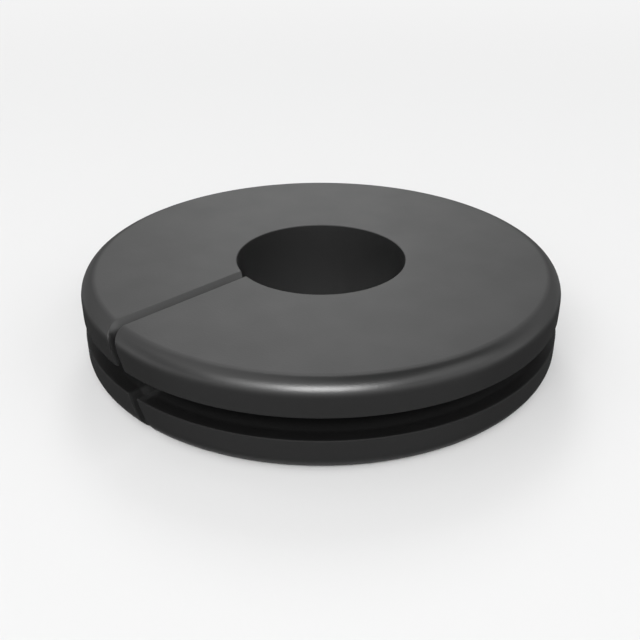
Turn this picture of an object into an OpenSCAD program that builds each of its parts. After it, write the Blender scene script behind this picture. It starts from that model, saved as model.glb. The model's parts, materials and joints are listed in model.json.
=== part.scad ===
// Split rubber grommet: one moulded ring that lines the hole in a sheet panel.
// A groove round its middle takes the panel, a bore through it takes the cable,
// and a slanted slit on one side lets the cable in without threading it.
// Millimetres, +Z along the bore, origin on the axis at the middle of the groove.
// The slit opens towards -Y.

/* [Flanges] */
// Outer diameter of the two flanges
flange_d = 35; // [28:0.5:60]
// Thickness of each flange
flange_t = 2.4; // [1.4:0.1:6]
// Radius of the rounded outer edge of each flange
edge_r = 1.2; // [0.2:0.1:2.2]

/* [Panel groove] */
// Width of the groove, which is the thickness of the panel it takes
groove_w = 1.6; // [0.8:0.1:6]
// Diameter at the bottom of the groove, which is the panel's hole
groove_d = 25; // [15:0.5:32]

/* [Cable bore] */
// Diameter of the bore that the cable runs through
bore_d = 12.5; // [4:0.5:22]

/* [Slit] */
// Width of the gap between the two walls of the slit
slit_gap = 0.8; // [0.2:0.1:2]
// Lean of the slit away from the bore's axis, in degrees
slit_lean = 30; // [0:1:45]

/* [Hidden] */
$fn = 128;

rubber = [0.23, 0.23, 0.23];

flange_r = flange_d / 2;
groove_r = groove_d / 2;
bore_r = bore_d / 2;
total_h = groove_w + 2 * flange_t;

// A cut runs this far past the face that it opens
overrun = 1;

// Section of the ring before it is grooved: a block with two rounded outer corners
module blank_section() {
    corner_x = flange_r - edge_r;
    corner_z = total_h / 2 - edge_r;
    translate([bore_r, -total_h / 2])
        square([corner_x - bore_r, total_h]);
    translate([bore_r, -corner_z])
        square([flange_r - bore_r, 2 * corner_z]);
    for (side = [-1, 1])
        translate([corner_x, side * corner_z])
            circle(r = edge_r);
}

// Section of the groove that the panel's edge sits in
module groove_section() {
    translate([groove_r, -groove_w / 2])
        square([flange_r - groove_r + overrun, groove_w]);
}

// The whole ring, turned from its section
module ring() {
    rotate_extrude()
        difference() {
            blank_section();
            groove_section();
        }
}

// Slab that parts the ring from its bore to its rim.
// It leans about the line where it starts, so it meets the axis at the middle of the groove.
module slit() {
    reach = flange_r + overrun;
    height = (total_h + 2 * overrun) / cos(slit_lean) + slit_gap * tan(slit_lean);
    rotate([0, -slit_lean, 0])
        translate([-slit_gap / 2, -reach, -height / 2])
            cube([slit_gap, reach, height]);
}

module grommet() {
    color(rubber)
        difference() {
            ring();
            slit();
        }
}

grommet();
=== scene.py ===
# %% [markdown]
# # A split rubber grommet
#
# A grommet lines the hole in a sheet panel, so that the bare edge can't chafe
# a cable. This one is a single moulding in dark rubber: two round flanges with
# a groove between them for the panel, a bore for the cable, and a slit on one
# side that leans over, so that a cable laid in through it stays in.
#
# We load the solid model as a fixed frame, work out the grommet's skin as one
# surface, give it a rubber finish, and build a small studio around it.

# %% Load the solid model
import json
import math

import bpy
import numpy as np
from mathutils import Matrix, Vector
from mathutils.geometry import delaunay_2d_cdt


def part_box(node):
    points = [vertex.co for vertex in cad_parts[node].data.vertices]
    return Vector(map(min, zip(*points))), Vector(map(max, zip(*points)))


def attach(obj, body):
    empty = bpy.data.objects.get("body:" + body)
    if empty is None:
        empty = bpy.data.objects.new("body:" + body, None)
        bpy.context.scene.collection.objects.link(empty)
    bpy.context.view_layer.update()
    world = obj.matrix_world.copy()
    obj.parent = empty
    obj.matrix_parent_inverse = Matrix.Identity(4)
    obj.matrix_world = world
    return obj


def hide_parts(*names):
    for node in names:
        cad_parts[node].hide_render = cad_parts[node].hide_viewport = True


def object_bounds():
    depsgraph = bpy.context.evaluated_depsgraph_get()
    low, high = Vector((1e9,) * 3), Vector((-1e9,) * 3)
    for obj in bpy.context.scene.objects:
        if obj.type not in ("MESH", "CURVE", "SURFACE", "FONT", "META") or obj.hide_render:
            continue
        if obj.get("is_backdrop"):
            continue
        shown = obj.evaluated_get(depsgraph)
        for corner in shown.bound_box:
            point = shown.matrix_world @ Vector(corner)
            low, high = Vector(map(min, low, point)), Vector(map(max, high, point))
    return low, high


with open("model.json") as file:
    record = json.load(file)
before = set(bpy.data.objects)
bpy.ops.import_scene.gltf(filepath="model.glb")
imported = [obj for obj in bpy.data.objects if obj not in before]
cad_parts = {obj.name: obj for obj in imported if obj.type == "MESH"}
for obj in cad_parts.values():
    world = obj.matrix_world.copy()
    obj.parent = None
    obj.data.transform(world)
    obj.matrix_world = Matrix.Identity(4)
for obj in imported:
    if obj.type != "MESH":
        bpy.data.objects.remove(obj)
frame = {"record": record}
cad_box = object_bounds()
low, high = (np.array(corner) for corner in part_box("grommet"))
print("solid grommet in mm:", np.round((high - low) * 1000, 2))

# %% [markdown]
# ## Sizes of the moulding
#
# The flange radius and the height are read from the solid, and the bore from
# its mount. The sizes that no box can tell us are written here once, in metres,
# as they are in the part's source. A mould never leaves a corner quite sharp,
# and a broken corner catches a thread of light, so each sharp corner of the
# solid gets a tiny radius here.

# %% Sizes
MM = 0.001
flange_radius = (high[0] - low[0]) / 2
half_height = (high[2] - low[2]) / 2
mounts = {mount["name"]: mount for mount in frame["record"]["mounts"]}
bore_radius = mounts["cable_bore"]["dims"]["r_mm"] * MM
neck_radius = 12.5 * MM
groove_width = 1.6 * MM
edge_radius = 1.2 * MM
slit_gap = 0.8 * MM
slit_lean = math.radians(30)
corner_radius = 0.08 * MM
root_radius = 0.15 * MM
slit_edge = 0.03 * MM
print("flange", flange_radius / MM, "bore", bore_radius / MM, "half height", half_height / MM)

# %% [markdown]
# ## The section
#
# Cut the ring anywhere away from its slit and the cut face is the same: a block
# with a notch in its outer side, and its upper half mirrors its lower half. A
# section like that could be drawn as a curve and spun. Here it is an array of
# points, because we also need the direction of the surface at every point when
# we come to soften the edges of the slit.

# %% Corners of the section
# They run anticlockwise in the plane of radius and height, from the foot of the bore.
lip = groove_width / 2
lower_corners = np.array(
    [
        [bore_radius, -half_height],
        [flange_radius, -half_height],
        [flange_radius, -lip],
        [neck_radius, -lip],
    ]
)
lower_radii = np.array([corner_radius, edge_radius, corner_radius, root_radius])
upper_corners = (lower_corners * [1, -1])[::-1]
section_corners = np.concatenate([lower_corners, upper_corners])
section_radii = np.concatenate([lower_radii, lower_radii[::-1]])
print("corners of the section:", len(section_corners))


# %% Turn the corners
def rounded_section(corners, radii, arc_steps, run_steps):
    """Closed outline through square corners, and its outward direction at each point.

    At a corner P the outline arrives along a and leaves along b, both of length 1.
    The arc's centre is P - r a + r b. Its points are centre - r b cos(q) + r a sin(q),
    and it travels along a cos(q) + b sin(q), for q from 0 to 90 degrees.
    Between arcs the outline runs straight, in even steps, along b.
    The outward direction is the travel turned a quarter turn to the right.
    """
    arrive = corners - np.roll(corners, 1, axis=0)
    arrive = (arrive / np.linalg.norm(arrive, axis=1, keepdims=True))[:, None]
    leave = np.roll(arrive, -1, axis=0)
    r = radii[:, None, None]
    q = np.linspace(0, np.pi / 2, arc_steps + 1)[None, :, None]
    centre = corners[:, None] - r * arrive + r * leave
    arcs = centre - r * leave * np.cos(q) + r * arrive * np.sin(q)
    arc_travel = arrive * np.cos(q) + leave * np.sin(q)
    begin = arcs[:, -1:]
    end = np.roll(arcs[:, :1], -1, axis=0)
    share = (np.arange(1, run_steps) / run_steps)[None, :, None]
    runs = begin + (end - begin) * share
    run_travel = np.broadcast_to(leave, runs.shape)
    outline = np.concatenate([arcs, runs], axis=1).reshape(-1, 2)
    travel = np.concatenate([arc_travel, run_travel], axis=1).reshape(-1, 2)
    outward = np.stack([travel[:, 1], -travel[:, 0]], axis=1)
    return outline, outward


outline, outward = rounded_section(section_corners, section_radii, arc_steps=12, run_steps=6)
print("section points:", len(outline))

# %% [markdown]
# ## Carry the section round the bore
#
# A plain ring would be a full turn of the section. The slit stops the turn
# short, and because it leans, it stops each point of the section at an angle of
# its own. One way is to cut the ring with a slab, but a cut leaves ragged faces
# along its edge. Instead the angle where each point meets the wall of the slit
# is worked out, and the section is carried from the one wall to the other. Its
# columns lean with the slit beside it and stand upright further round.


# %% Where the slit stops each ring
def slit_angle(radius, height, clearance, side):
    """Angle round the bore, from -Y towards +X, where a ring meets one wall of the slit.

    The wall is the plane x cos(lean) + z sin(lean) = side * clearance, so the ring
    at this height meets it at x, and the angle's sine is x over the ring's radius.
    """
    x = (side * clearance - height * math.sin(slit_lean)) / math.cos(slit_lean)
    return np.arcsin(x / radius)


for level in (half_height, -half_height):
    stop = slit_angle(flange_radius, level, slit_gap / 2, 1)
    print("height", round(level / MM, 1), "mm: the wall is at", round(math.degrees(stop), 2), "degrees")


# %% Sweep the skin from wall to wall
def ease(share):
    """Smooth step: 3 s^2 - 2 s^3, with s held between 0 and 1."""
    s = np.clip(share, 0, 1)
    return s * s * (3 - 2 * s)


def ring_skin(outline, outward, columns, edge_columns, lean_reach=0.25):
    """Grid of points, one column per angle and one row per point of the section.

    Beside each wall, the first columns turn the edge of the slit. For q from 90
    degrees at the wall to 0, the section is drawn in by edge (1 - cos(q)) and
    stands edge (1 - sin(q)) off the wall, which is a quarter round.
    Between them the angle is a full turn times t, plus the angle of the near wall
    fading out over the first quarter turn and that of the far wall fading in over the last.
    """
    q = np.linspace(np.pi / 2, 0, edge_columns + 1)[:, None]
    drawn_in = outline - slit_edge * (1 - np.cos(q))[..., None] * outward
    clearance = slit_gap / 2 + slit_edge * (1 - np.sin(q))
    near = slit_angle(drawn_in[..., 0], drawn_in[..., 1], clearance, 1)
    far = slit_angle(drawn_in[..., 0], drawn_in[..., 1], clearance, -1)
    t = np.linspace(0, 1, columns + 1)[1:-1, None]
    between = 2 * np.pi * t
    between = between + near[-1] * (1 - ease(t / lean_reach))
    between = between + far[-1] * ease((t - 1 + lean_reach) / lean_reach)
    angle = np.concatenate([near, between, 2 * np.pi + far[::-1]])
    plain = np.broadcast_to(outline, (columns - 1, *outline.shape))
    section = np.concatenate([drawn_in, plain, drawn_in[::-1]])
    radius, height = section[..., 0], section[..., 1]
    return np.stack([radius * np.sin(angle), -radius * np.cos(angle), height], axis=-1)


skin = ring_skin(outline, outward, columns=240, edge_columns=5)
print("skin grid, columns by rows:", skin.shape[:2])

# %% [markdown]
# ## Close the two walls of the slit
#
# The sweep leaves the first and last columns open, as a hose is open at its
# ends. Each end lies in one flat wall of the slit. A single face with over a
# hundred corners would do, but a flat patch of triangles exports the same way
# everywhere, so a Delaunay fill closes each wall with the points it already has.


# %% Faces of the skin and of the walls
def grid_faces(columns, rows):
    """Quads between neighbouring columns; the rows close on themselves."""
    index = np.arange(columns * rows).reshape(columns, rows)
    ahead = np.roll(index, -1, axis=1)
    return np.stack([index[:-1], index[1:], ahead[1:], ahead[:-1]], axis=-1).reshape(-1, 4)


def wall_faces(loop):
    """Triangles that fill one end column, by Delaunay in the plane of reach and height, in mm."""
    flat = np.stack([-loop[:, 1], loop[:, 2]], axis=1) / MM
    points = [Vector(pair) for pair in flat]
    filled = delaunay_2d_cdt(points, [], [list(range(len(points)))], 1, 1e-7)
    source = np.array([origin[0] for origin in filled[3]])
    return source[np.array(filled[2])]


columns, rows = skin.shape[:2]
side_quads = grid_faces(columns, rows)
near_wall = wall_faces(skin[0])
far_wall = wall_faces(skin[-1])[:, ::-1] + (columns - 1) * rows
print("quads:", len(side_quads), "wall triangles:", len(near_wall), len(far_wall))

# %% Build the grommet
mesh = bpy.data.meshes.new("grommet_skin")
faces = side_quads.tolist() + near_wall.tolist() + far_wall.tolist()
mesh.from_pydata(skin.reshape(-1, 3).tolist(), [], faces)
mesh.shade_smooth()
grommet = bpy.data.objects.new("grommet_skin", mesh)
bpy.context.scene.collection.objects.link(grommet)
even_shading = grommet.modifiers.new("even_shading", "WEIGHTED_NORMAL")
even_shading.weight = 100
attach(grommet, "root")
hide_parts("grommet")
print("faces of the grommet:", len(mesh.polygons))

# %% Measure the skin
# Each triangle a, b, c spans a pyramid with the origin, and its volume is a . (b x c) / 6.
# Where the faces close up and point outwards, these add up to the volume inside.
triangles = np.empty(len(mesh.loop_triangles) * 3, np.int32)
mesh.loop_triangles.foreach_get("vertices", triangles)
a, b, c = np.moveaxis(skin.reshape(-1, 3)[triangles.reshape(-1, 3)], 1, 0)
volume = np.einsum("ij,ij->i", a, np.cross(b, c)).sum() / 6
print("triangles:", len(a), "volume in mm3:", round(volume / MM**3, 1))

# %% [markdown]
# ## The rubber
#
# Rubber filled with carbon black scatters little light, so what we see of it is
# mostly sheen, and the sheen differs over the moulding. The flat faces carry a
# thin grey bloom and are matt. The rounded edges are smoother and catch the
# light. The rims, where the mould parted and the flash was trimmed, are scuffed.
# The bore and the groove are dull from the cores that formed them. The walls
# of the slit are painted paler where they meet the faces, as painted light for the light that reaches
# into the slit.
#
# Each zone could have a material of its own, but hard lines would then show
# between them. Here one material reads Object coordinates: the distances from
# the axis, from the middle height and from the slit tell it where on the
# moulding a point lies, and each zone fades into the next.

# %% Start the material
# Carbon black raises the index of refraction above the 1.5 of plain rubber.
filled_index = 1.7
rubber = bpy.data.materials.new("moulded_rubber")
rubber.use_nodes = True
tree = rubber.node_tree
shader = tree.nodes["Principled BSDF"]
shader.inputs["IOR"].default_value = filled_index
mesh.materials.append(rubber)
print("material:", rubber.name)


# %% Measure where a point lies
def add_node(tree, kind, place, **settings):
    """A new node at this place in the editor, with its settings."""
    node = tree.nodes.new(kind)
    node.location = place
    for name, value in settings.items():
        setattr(node, name, value)
    return node


def unsigned(tree, value, place):
    """The value without its sign."""
    node = add_node(tree, "ShaderNodeMath", place, operation="ABSOLUTE")
    tree.links.new(value, node.inputs[0])
    return node.outputs["Value"]


where = add_node(tree, "ShaderNodeTexCoord", (-1700, 0)).outputs["Object"]
flattened = add_node(tree, "ShaderNodeVectorMath", (-1500, -200), operation="MULTIPLY")
flattened.inputs[1].default_value = (1, 1, 0)
tree.links.new(where, flattened.inputs[0])
reach = add_node(tree, "ShaderNodeVectorMath", (-1300, -200), operation="LENGTH")
tree.links.new(flattened.outputs["Vector"], reach.inputs[0])
from_axis = reach.outputs["Value"]
axes = add_node(tree, "ShaderNodeSeparateXYZ", (-1500, -500))
tree.links.new(where, axes.inputs["Vector"])
from_middle = unsigned(tree, axes.outputs["Z"], (-1300, -500))
across = add_node(tree, "ShaderNodeVectorMath", (-1500, -800), operation="DOT_PRODUCT")
across.inputs[1].default_value = (math.cos(slit_lean), 0, math.sin(slit_lean))
tree.links.new(where, across.inputs[0])
from_slit = unsigned(tree, across.outputs["Value"], (-1300, -800))
print("nodes that measure:", len(tree.nodes))


# %% Zones by radius and by height
def remap(tree, value, begin, end, first, last, place, easing="SMOOTHSTEP"):
    """First until the value reaches begin, last from end on, and a smooth step or a slope between."""
    step = add_node(tree, "ShaderNodeMapRange", place, interpolation_type=easing)
    limits = {"From Min": begin, "From Max": end, "To Min": first, "To Max": last}
    for name, limit in limits.items():
        step.inputs[name].default_value = limit
    tree.links.new(value, step.inputs["Value"])
    return step.outputs["Result"]


# The edge is at its smoothest a third of the way out, and the rim starts before it is upright.
face_start = half_height - corner_radius
edge_start = flange_radius - edge_radius
edge_full = flange_radius - 0.64 * edge_radius
rim_start = flange_radius - 0.14 * edge_radius
on_face = remap(tree, from_middle, face_start, half_height, 0, 1, (-1000, -500))
on_rim = remap(tree, from_axis, rim_start, flange_radius, 0, 1, (-1000, -200))
on_edge = remap(tree, from_axis, edge_start, edge_full, 0, 1, (-1000, 100))
print("rounded edge from", round(edge_start / MM, 2), "mm, rim from", round(rim_start / MM, 2), "mm")


# %% Zone of the slit
def combine(tree, operation, one, other, place):
    """One Math node on two values."""
    node = add_node(tree, "ShaderNodeMath", place, operation=operation)
    tree.links.new(one, node.inputs[0])
    tree.links.new(other, node.inputs[1])
    return node.outputs["Value"]


# Painted light lies on the walls of the slit near a face, where light reaches into it: on the slit's
# own side of the axis and off the rim.
wall_start = slit_gap / 2
wall_end = wall_start + slit_edge
painted_light_start, painted_light_full = half_height - 1.0 * MM, half_height - 0.3 * MM
near_slit = remap(tree, from_slit, wall_start, wall_end, 1, 0, (-1000, -800))
slit_side = remap(tree, axes.outputs["Y"], -bore_radius / 2, 0, 1, 0, (-1000, -1100))
near_face = remap(tree, from_middle, painted_light_start, painted_light_full, 0, 1, (-1000, -1400))
off_rim = remap(tree, from_axis, edge_full, rim_start, 1, 0, (-1000, -1700))
in_slit = combine(tree, "MULTIPLY", near_slit, slit_side, (-800, -900))
painted_light_reach = combine(tree, "MULTIPLY", near_face, off_rim, (-800, -1500))
painted_light_on_slit_walls = combine(tree, "MULTIPLY", in_slit, painted_light_reach, (-600, -1000))
# How far down the walls of the slit the painted light reaches, in mm.
painted_light_depth = (half_height - painted_light_start) / MM
print("bloom reaches down the walls of the slit by", round(painted_light_depth, 2), "mm")

# %% [markdown]
# ## Colour of the rubber
#
# The compound is never quite even, so its colour wanders between two greys that
# lie close together. The faces wander between two paler ones, because of their
# bloom, and the scuffed rims lie in between. Near the faces the walls of the slit
# are painted paler still, as painted light for the light that reaches a little way
# into the slit. The greys are linear values: 0.03 looks like the dark grey of a tyre.


# %% Mottle of the compound
def noise_between(tree, coordinates, size, detail, lowest, highest, place):
    """Noise with features of about this size in metres, spread between two values.

    Most of the noise lies from 0.3 to 0.7, so that stretch is the one that is spread.
    """
    noise = add_node(tree, "ShaderNodeTexNoise", place)
    noise.inputs["Scale"].default_value = 1 / size
    noise.inputs["Detail"].default_value = detail
    tree.links.new(coordinates, noise.inputs["Vector"])
    beside = (place[0] + 200, place[1])
    return remap(tree, noise.outputs["Fac"], 0.3, 0.7, lowest, highest, beside, easing="LINEAR")


mottle_size = 4 * MM
mottle = noise_between(tree, where, mottle_size, detail=4, lowest=0, highest=1, place=(-1200, 400))
print("mottle in patches of about", mottle_size / MM, "mm")


# %% Bloom and scuffs
def blend_greys(tree, factor, one, other, place):
    """Colour between two greys, each of them a number or the colour of an earlier node."""
    blend = add_node(tree, "ShaderNodeMix", place, data_type="RGBA")
    tree.links.new(factor, blend.inputs["Factor"])
    for name, grey in (("A", one), ("B", other)):
        if isinstance(grey, float):
            blend.inputs[name].default_value = (grey, grey, grey, 1)
        else:
            tree.links.new(grey, blend.inputs[name])
    return blend.outputs["Result"]


bare_greys, bloom_greys = (0.0056, 0.0068), (0.0225, 0.0285)
# The second grey is painted light on the walls of the slit, not a colour of the rubber.
scuffed_grey, slit_wall_painted_light_grey = 0.0145, 0.030
bare = blend_greys(tree, mottle, *bare_greys, (-800, 500))
bloom = blend_greys(tree, mottle, *bloom_greys, (-800, 300))
moulded = blend_greys(tree, on_face, bare, bloom, (-600, 400))
trimmed = blend_greys(tree, on_rim, moulded, scuffed_grey, (-400, 400))
# Painted light: the walls of the slit turn paler near the faces, where light reaches into the slit.
colour = blend_greys(tree, painted_light_on_slit_walls, trimmed, slit_wall_painted_light_grey, (-200, 400))
tree.links.new(colour, shader.inputs["Base Color"])
print("nodes with the colours:", len(tree.nodes))

# %% [markdown]
# ## Sheen and grain
#
# Roughness sets how far the sheen spreads: wide on the matt faces, tight on the
# rounded edges, and wide again on the rims. At a glancing angle the grain of the
# skin hides its own smooth patches, so the sheen of the edges spreads there as
# well, and the outline stays dark. A little noise keeps it from looking polished.
#
# The specular level sets how strong the sheen is, and it drops on the bloom, in
# the bore and the groove, and most of all on the scuffed rims. The blasted mould
# also leaves a grain a sixth of a millimetre across, too fine to model, so it is
# bump.

# %% How far the sheen spreads
# Facing is 0 where the skin faces the camera and 1 at the outline. The groove keeps its own spread.
face_rough, edge_rough, rim_rough = 0.58, 0.345, 0.60
glance_start, glance_full, glance_rough = 0.2, 0.65, 0.65
groove_end = lip + root_radius
tight = remap(tree, on_edge, 0, 1, face_rough, edge_rough, (-800, -1300), easing="LINEAR")
wider = remap(tree, on_rim, 0, 1, 0, rim_rough - edge_rough, (-800, -1600), easing="LINEAR")
glance = add_node(tree, "ShaderNodeLayerWeight", (-1200, -1700)).outputs["Facing"]
spread = remap(tree, glance, glance_start, glance_full, 0, glance_rough, (-1000, -1700))
off_groove = remap(tree, from_middle, lip, groove_end, 0, 1, (-1000, -2000))
exposed = combine(tree, "MULTIPLY", on_edge, off_groove, (-800, -2000))
edge_spread = combine(tree, "MULTIPLY", spread, exposed, (-600, -1800))
zoned = combine(tree, "ADD", tight, wider, (-600, -1400))
spreading = combine(tree, "ADD", zoned, edge_spread, (-400, -1500))
patch_size, patch_rough = 2.5 * MM, 0.015
gloss = noise_between(
    tree, where, patch_size, detail=3, lowest=-patch_rough, highest=patch_rough, place=(-1200, -1400)
)
uneven = combine(tree, "ADD", spreading, gloss, (-200, -1400))
tree.links.new(uneven, shader.inputs["Roughness"])
print("roughness of face, edge, rim:", face_rough, edge_rough, rim_rough)

# %% How strong the sheen is
face_sheen, edge_sheen, rim_sheen, core_sheen = 0.35, 0.5, 0.05, 0.24
bore_end = bore_radius + root_radius
bloomed = remap(tree, from_middle, face_start, half_height, edge_sheen, face_sheen, (-800, -1900))
scuffed = remap(tree, from_axis, rim_start, flange_radius, edge_sheen, rim_sheen, (-800, -2200))
in_bore = remap(tree, from_axis, bore_radius, bore_end, core_sheen, edge_sheen, (-800, -2500))
in_groove = remap(tree, from_middle, lip, groove_end, core_sheen, edge_sheen, (-800, -2800))
outside = combine(tree, "MINIMUM", bloomed, scuffed, (-600, -2000))
inside = combine(tree, "MINIMUM", in_bore, in_groove, (-600, -2600))
moulded_sheen = combine(tree, "MINIMUM", outside, inside, (-400, -2300))
wall_sheen = remap(tree, painted_light_on_slit_walls, 0, 1, 0, edge_sheen, (-600, -2900), easing="LINEAR")
sheen = combine(tree, "MAXIMUM", moulded_sheen, wall_sheen, (-200, -2400))
shader.inputs["Specular IOR Level"].default_value = face_sheen
tree.links.new(sheen, shader.inputs["Specular IOR Level"])
print("sheen of face, edge, rim, core:", face_sheen, edge_sheen, rim_sheen, core_sheen)

# %% Grain from the mould
grain_size, grain_depth, grain_strength = 0.16 * MM, 0.02 * MM, 0.12
grain = noise_between(tree, where, grain_size, detail=2, lowest=0, highest=1, place=(-800, 900))
bump = add_node(tree, "ShaderNodeBump", (-300, 800))
bump.inputs["Strength"].default_value = grain_strength
bump.inputs["Distance"].default_value = grain_depth
tree.links.new(grain, bump.inputs["Height"])
tree.links.new(bump.outputs["Normal"], shader.inputs["Normal"])
print("rubber nodes:", len(tree.nodes))

# %% [markdown]
# ## The camera
#
# The photograph looks down on the grommet from about 24 degrees, from close by,
# with the slit to the left. The distance, tilt and lens were found by fitting the
# edges of the flanges and the bore, so the ellipses narrow towards the back as
# they do in the picture.

# %% Directions of the studio
view_turn = math.radians(45)
right = np.array([math.cos(view_turn), math.sin(view_turn), 0])
away = np.array([-math.sin(view_turn), math.cos(view_turn), 0])
up = np.array([0, 0, 1])


def studio(to_right, to_back, upward):
    """A point of the studio, in metres from the grommet's centre as the camera sees it."""
    return Vector(right * to_right + away * to_back + up * upward)


print("the camera looks towards", np.round(away, 3))

# %% Camera
view_height = math.radians(24.1495)
view_tilt = math.radians(28.415)
view_distance = 63.4455 * MM
camera_data = bpy.data.cameras.new("camera")
camera_data.sensor_width = 36
camera_data.lens = 47.777
picture_width = 640
camera_data.shift_x = -1.04 / picture_width
camera_data.clip_start = 0.002
camera = bpy.data.objects.new("camera", camera_data)
camera.location = studio(
    0,
    -view_distance * math.cos(view_height),
    view_distance * math.sin(view_height) + half_height,
)
gaze = studio(0, math.cos(view_tilt), -math.sin(view_tilt))
camera.rotation_euler = gaze.to_track_quat("-Z", "Y").to_euler()
bpy.context.scene.collection.objects.link(camera)
bpy.context.scene.camera = camera
print("camera at, mm:", [round(v / MM, 2) for v in camera.location])

# %% [markdown]
# ## The floor
#
# The grommet lies on a pale matt paper, which takes its shadow. A floor seen to
# its far edge shows a hard horizon, so from a little way off it fades into a
# plain backdrop. The backdrop glows only for the camera and in reflections, where
# a strength of 1 is white, so it shows in the sheen and lights nothing else.


# %% Floor
def level_square(size, height):
    """Corners of a level square round the origin: x and y are plus or minus half its size."""
    line = np.array([-size / 2, size / 2])
    x, y = np.meshgrid(line, line)
    return np.stack([x, y, np.full_like(x, height)], axis=-1).reshape(-1, 3)


floor_size = 4.0
floor_gap = 0.01 * MM
floor_mesh = bpy.data.meshes.new("floor")
floor_mesh.from_pydata(level_square(floor_size, low[2] - floor_gap).tolist(), [], [(0, 1, 3, 2)])
floor = bpy.data.objects.new("floor", floor_mesh)
bpy.context.scene.collection.objects.link(floor)
floor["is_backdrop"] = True
print("floor at, mm:", round((low[2] - floor_gap) / MM, 2))

# %% Pale paper
paper_grey = 0.74
pale = bpy.data.materials.new("pale_paper")
pale.use_nodes = True
floor_mesh.materials.append(pale)
sheet = pale.node_tree
paper = sheet.nodes["Principled BSDF"]
paper.inputs["Base Color"].default_value = (paper_grey, paper_grey, paper_grey, 1)
paper.inputs["Specular IOR Level"].default_value = 0
print("grey of the paper:", paper_grey)

# %% Fade into the backdrop
backdrop_level = 0.9
fade_start, fade_end = 30 * MM, 200 * MM
backdrop = add_node(sheet, "ShaderNodeEmission", (10, -400))
backdrop.inputs["Strength"].default_value = backdrop_level
spot = add_node(sheet, "ShaderNodeTexCoord", (-1000, 0))
distance = add_node(sheet, "ShaderNodeVectorMath", (-800, 0), operation="LENGTH")
sheet.links.new(spot.outputs["Object"], distance.inputs[0])
far = remap(sheet, distance.outputs["Value"], fade_start, fade_end, 0, 1, (-600, 0))
ray = add_node(sheet, "ShaderNodeLightPath", (-1000, 500)).outputs
mirrored = combine(sheet, "MAXIMUM", ray["Is Glossy Ray"], ray["Is Transmission Ray"], (-800, 400))
seen = combine(sheet, "MAXIMUM", ray["Is Camera Ray"], mirrored, (-600, 400))
share = combine(sheet, "MULTIPLY", seen, far, (-400, 300))
mixed = add_node(sheet, "ShaderNodeMixShader", (300, 100))
sheet.links.new(share, mixed.inputs["Fac"])
sheet.links.new(paper.outputs["BSDF"], mixed.inputs[1])
sheet.links.new(backdrop.outputs["Emission"], mixed.inputs[2])
sheet.links.new(mixed.outputs["Shader"], sheet.nodes["Material Output"].inputs["Surface"])
print("paper fades out between", fade_start / MM, "and", fade_end / MM, "mm")

# %% [markdown]
# ## The lamps
#
# The lamps are large and soft, as in a studio for small goods. The key stands over
# the camera and makes the bright patch on the front edge, and the wide front lamp
# round it draws that patch out to both sides. The back lamp puts the sheen on the
# upper face. One overhead and a faint one on the left light the rounded edge on
# that side, and one on the right lights the wall of the slit. Together they light
# a level sheet of paper about as brightly as a white sky does, so that colours
# come out about as they are written.


# %% Lamps
def soft_lamp(name, bearing, rise, wide, tall, brightness):
    """Area lamp one metre off that faces the grommet, placed and sized by angles in degrees.

    The bearing runs from straight behind the grommet, over the camera's right side,
    to 180 at the camera, and on over its left side. The lamp fills wide by tall
    degrees as the grommet sees it, and a brightness of 1 is white.
    """
    turn, lift = math.radians(bearing), math.radians(rise)
    outward = math.cos(lift)
    place = studio(outward * math.sin(turn), outward * math.cos(turn), math.sin(lift))
    data = bpy.data.lights.new(name, "AREA")
    data.shape = "RECTANGLE"
    data.size = 2 * math.tan(math.radians(wide / 2))
    data.size_y = 2 * math.tan(math.radians(tall / 2))
    data.energy = brightness * data.size * data.size_y * math.pi
    lamp = bpy.data.objects.new(name, data)
    lamp.location = place
    lamp.rotation_euler = (-place).to_track_quat("-Z", "Y").to_euler()
    bpy.context.scene.collection.objects.link(lamp)
    print(name, "lamp,", round(data.energy, 2), "W")


soft_lamp("key", bearing=180, rise=38, wide=23, tall=17, brightness=15.8)
soft_lamp("front", bearing=187, rise=40, wide=64, tall=30, brightness=2.2)
soft_lamp("back", bearing=-1, rise=38, wide=16, tall=20, brightness=7.3)
soft_lamp("overhead", bearing=255, rise=66, wide=86, tall=46, brightness=0.65)
soft_lamp("right", bearing=110, rise=38, wide=40, tall=36, brightness=1.0)
soft_lamp("left", bearing=254, rise=36, wide=42, tall=36, brightness=0.32)

# %% [markdown]
# ## The world
#
# Round the studio the world is the same pale backdrop as far up as a low camera
# sees, and dims overhead, so that the rounded edges have something dark to show.
# A picture of a real studio could serve, but a slope between two greys is enough
# and needs no file.

# %% World
# On a dome of radius 1 these heights are 9 and 21 degrees above the horizon.
dim_start, dim_end = 0.16, 0.36
sky_level = 0.18
world = bpy.data.worlds.new("studio")
world.use_nodes = True
bpy.context.scene.world = world
dome = world.node_tree
direction = add_node(dome, "ShaderNodeTexCoord", (-900, 0))
parts = add_node(dome, "ShaderNodeSeparateXYZ", (-700, 0))
dome.links.new(direction.outputs["Generated"], parts.inputs["Vector"])
glow = remap(dome, parts.outputs["Z"], dim_start, dim_end, backdrop_level, sky_level, (-500, 0))
background = dome.nodes["Background"]
background.inputs["Color"].default_value = (1, 1, 1, 1)
dome.links.new(glow, background.inputs["Strength"])
bpy.context.scene.view_settings.view_transform = "Standard"
print("world from", backdrop_level, "at the horizon to", sky_level, "overhead")

# %% [markdown]
# ## Sizes to compare
#
# The solid sets the size of the part, and its skin may not outgrow it. A ruler on
# the screen would do, but the boxes of both tell more exactly, so the largest
# difference between them is printed.

# %% Compare the skin with the solid
difference = np.abs(np.array(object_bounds()) - np.array(cad_box)).max()
print("skin and solid differ by", round(difference / MM, 4), "mm at most")
